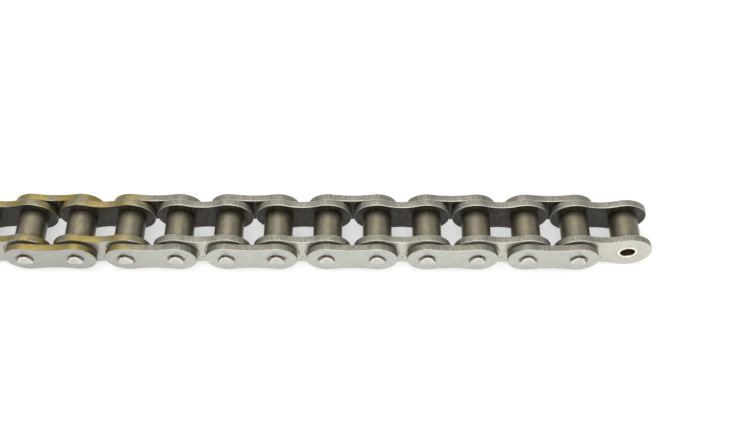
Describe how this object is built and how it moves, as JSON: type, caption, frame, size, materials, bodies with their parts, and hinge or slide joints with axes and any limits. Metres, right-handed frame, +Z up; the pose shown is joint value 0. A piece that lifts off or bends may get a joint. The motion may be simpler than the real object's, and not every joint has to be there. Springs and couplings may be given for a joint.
{
  "type": "conveyor chain",
  "caption": "Straight strand of heavy roller conveyor chain: waisted link plates on pressed bushes and riveted pins, a free roller at every joint, and an open bush at each end.",
  "frame": {"origin": "under the middle of the strand, on the surface that its inner plates stand on", "axes": "+X along the strand, towards the end numbered 1; Y along the pins, front plates at -Y; +Z up, square to the strand"},
  "size_m": [0.5314, 0.0536, 0.0362],
  "materials": {
    "inner_plate": "shot-peened heat-treated steel, satin, grey",
    "outer_plate": "shot-peened heat-treated steel, satin, light grey",
    "bush": "ground case-hardened steel",
    "roller": "dark, oiled, heat-tinted steel",
    "pin": "ground case-hardened steel, ends staked bright"
  },
  "bodies": {
    "inner_link_1": {"inner_plate_front_1": "inner_plate", "inner_plate_back_1": "inner_plate", "bush_01": "bush", "bush_02": "bush"},
    "inner_link_2": {"inner_plate_front_2": "inner_plate", "inner_plate_back_2": "inner_plate", "bush_03": "bush", "bush_04": "bush"},
    "inner_link_3": {"inner_plate_front_3": "inner_plate", "inner_plate_back_3": "inner_plate", "bush_05": "bush", "bush_06": "bush"},
    "inner_link_4": {"inner_plate_front_4": "inner_plate", "inner_plate_back_4": "inner_plate", "bush_07": "bush", "bush_08": "bush"},
    "inner_link_5": {"inner_plate_front_5": "inner_plate", "inner_plate_back_5": "inner_plate", "bush_09": "bush", "bush_10": "bush"},
    "inner_link_6": {"inner_plate_front_6": "inner_plate", "inner_plate_back_6": "inner_plate", "bush_11": "bush", "bush_12": "bush"},
    "inner_link_7": {"inner_plate_front_7": "inner_plate", "inner_plate_back_7": "inner_plate", "bush_13": "bush", "bush_14": "bush"},
    "outer_link_1": {"outer_plate_front_1": "outer_plate", "outer_plate_back_1": "outer_plate", "pin_pair_1": "pin"},
    "outer_link_2": {"outer_plate_front_2": "outer_plate", "outer_plate_back_2": "outer_plate", "pin_pair_2": "pin"},
    "outer_link_3": {"outer_plate_front_3": "outer_plate", "outer_plate_back_3": "outer_plate", "pin_pair_3": "pin"},
    "outer_link_4": {"outer_plate_front_4": "outer_plate", "outer_plate_back_4": "outer_plate", "pin_pair_4": "pin"},
    "outer_link_5": {"outer_plate_front_5": "outer_plate", "outer_plate_back_5": "outer_plate", "pin_pair_5": "pin"},
    "outer_link_6": {"outer_plate_front_6": "outer_plate", "outer_plate_back_6": "outer_plate", "pin_pair_6": "pin"},
    "roller_01": {"roller_01": "roller"},
    "roller_02": {"roller_02": "roller"},
    "roller_03": {"roller_03": "roller"},
    "roller_04": {"roller_04": "roller"},
    "roller_05": {"roller_05": "roller"},
    "roller_06": {"roller_06": "roller"},
    "roller_07": {"roller_07": "roller"},
    "roller_08": {"roller_08": "roller"},
    "roller_09": {"roller_09": "roller"},
    "roller_10": {"roller_10": "roller"},
    "roller_11": {"roller_11": "roller"},
    "roller_12": {"roller_12": "roller"},
    "roller_13": {"roller_13": "roller"},
    "roller_14": {"roller_14": "roller"}
  },
  "joints": [
    {"name": "pin_joint_02", "type": "hinge", "parent": "outer_link_1", "child": "inner_link_1", "pos_m": [0.20955, 0, 0.0181], "axis": [0, 1, 0], "range_deg": [-90, 90]},
    {"name": "pin_joint_03", "type": "hinge", "parent": "inner_link_2", "child": "outer_link_1", "pos_m": [0.17145, 0, 0.0181], "axis": [0, -1, 0], "range_deg": [-90, 90]},
    {"name": "pin_joint_04", "type": "hinge", "parent": "outer_link_2", "child": "inner_link_2", "pos_m": [0.13335, 0, 0.0181], "axis": [0, 1, 0], "range_deg": [-90, 90]},
    {"name": "pin_joint_05", "type": "hinge", "parent": "inner_link_3", "child": "outer_link_2", "pos_m": [0.09525, 0, 0.0181], "axis": [0, -1, 0], "range_deg": [-90, 90]},
    {"name": "pin_joint_06", "type": "hinge", "parent": "outer_link_3", "child": "inner_link_3", "pos_m": [0.05715, 0, 0.0181], "axis": [0, 1, 0], "range_deg": [-90, 90]},
    {"name": "pin_joint_07", "type": "hinge", "parent": "inner_link_4", "child": "outer_link_3", "pos_m": [0.01905, 0, 0.0181], "axis": [0, -1, 0], "range_deg": [-90, 90]},
    {"name": "pin_joint_08", "type": "hinge", "parent": "inner_link_4", "child": "outer_link_4", "pos_m": [-0.01905, 0, 0.0181], "axis": [0, 1, 0], "range_deg": [-90, 90]},
    {"name": "pin_joint_09", "type": "hinge", "parent": "outer_link_4", "child": "inner_link_5", "pos_m": [-0.05715, 0, 0.0181], "axis": [0, -1, 0], "range_deg": [-90, 90]},
    {"name": "pin_joint_10", "type": "hinge", "parent": "inner_link_5", "child": "outer_link_5", "pos_m": [-0.09525, 0, 0.0181], "axis": [0, 1, 0], "range_deg": [-90, 90]},
    {"name": "pin_joint_11", "type": "hinge", "parent": "outer_link_5", "child": "inner_link_6", "pos_m": [-0.13335, 0, 0.0181], "axis": [0, -1, 0], "range_deg": [-90, 90]},
    {"name": "pin_joint_12", "type": "hinge", "parent": "inner_link_6", "child": "outer_link_6", "pos_m": [-0.17145, 0, 0.0181], "axis": [0, 1, 0], "range_deg": [-90, 90]},
    {"name": "pin_joint_13", "type": "hinge", "parent": "outer_link_6", "child": "inner_link_7", "pos_m": [-0.20955, 0, 0.0181], "axis": [0, -1, 0], "range_deg": [-90, 90]},
    {"name": "roller_01_spin", "type": "hinge", "parent": "inner_link_1", "child": "roller_01", "pos_m": [0.24765, 0, 0.0181], "axis": [0, 1, 0], "continuous": true},
    {"name": "roller_02_spin", "type": "hinge", "parent": "inner_link_1", "child": "roller_02", "pos_m": [0.20955, 0, 0.0181], "axis": [0, 1, 0], "continuous": true},
    {"name": "roller_03_spin", "type": "hinge", "parent": "inner_link_2", "child": "roller_03", "pos_m": [0.17145, 0, 0.0181], "axis": [0, 1, 0], "continuous": true},
    {"name": "roller_04_spin", "type": "hinge", "parent": "inner_link_2", "child": "roller_04", "pos_m": [0.13335, 0, 0.0181], "axis": [0, 1, 0], "continuous": true},
    {"name": "roller_05_spin", "type": "hinge", "parent": "inner_link_3", "child": "roller_05", "pos_m": [0.09525, 0, 0.0181], "axis": [0, 1, 0], "continuous": true},
    {"name": "roller_06_spin", "type": "hinge", "parent": "inner_link_3", "child": "roller_06", "pos_m": [0.05715, 0, 0.0181], "axis": [0, 1, 0], "continuous": true},
    {"name": "roller_07_spin", "type": "hinge", "parent": "inner_link_4", "child": "roller_07", "pos_m": [0.01905, 0, 0.0181], "axis": [0, 1, 0], "continuous": true},
    {"name": "roller_08_spin", "type": "hinge", "parent": "inner_link_4", "child": "roller_08", "pos_m": [-0.01905, 0, 0.0181], "axis": [0, 1, 0], "continuous": true},
    {"name": "roller_09_spin", "type": "hinge", "parent": "inner_link_5", "child": "roller_09", "pos_m": [-0.05715, 0, 0.0181], "axis": [0, 1, 0], "continuous": true},
    {"name": "roller_10_spin", "type": "hinge", "parent": "inner_link_5", "child": "roller_10", "pos_m": [-0.09525, 0, 0.0181], "axis": [0, 1, 0], "continuous": true},
    {"name": "roller_11_spin", "type": "hinge", "parent": "inner_link_6", "child": "roller_11", "pos_m": [-0.13335, 0, 0.0181], "axis": [0, 1, 0], "continuous": true},
    {"name": "roller_12_spin", "type": "hinge", "parent": "inner_link_6", "child": "roller_12", "pos_m": [-0.17145, 0, 0.0181], "axis": [0, 1, 0], "continuous": true},
    {"name": "roller_13_spin", "type": "hinge", "parent": "inner_link_7", "child": "roller_13", "pos_m": [-0.20955, 0, 0.0181], "axis": [0, 1, 0], "continuous": true},
    {"name": "roller_14_spin", "type": "hinge", "parent": "inner_link_7", "child": "roller_14", "pos_m": [-0.24765, 0, 0.0181], "axis": [0, 1, 0], "continuous": true}
  ]
}
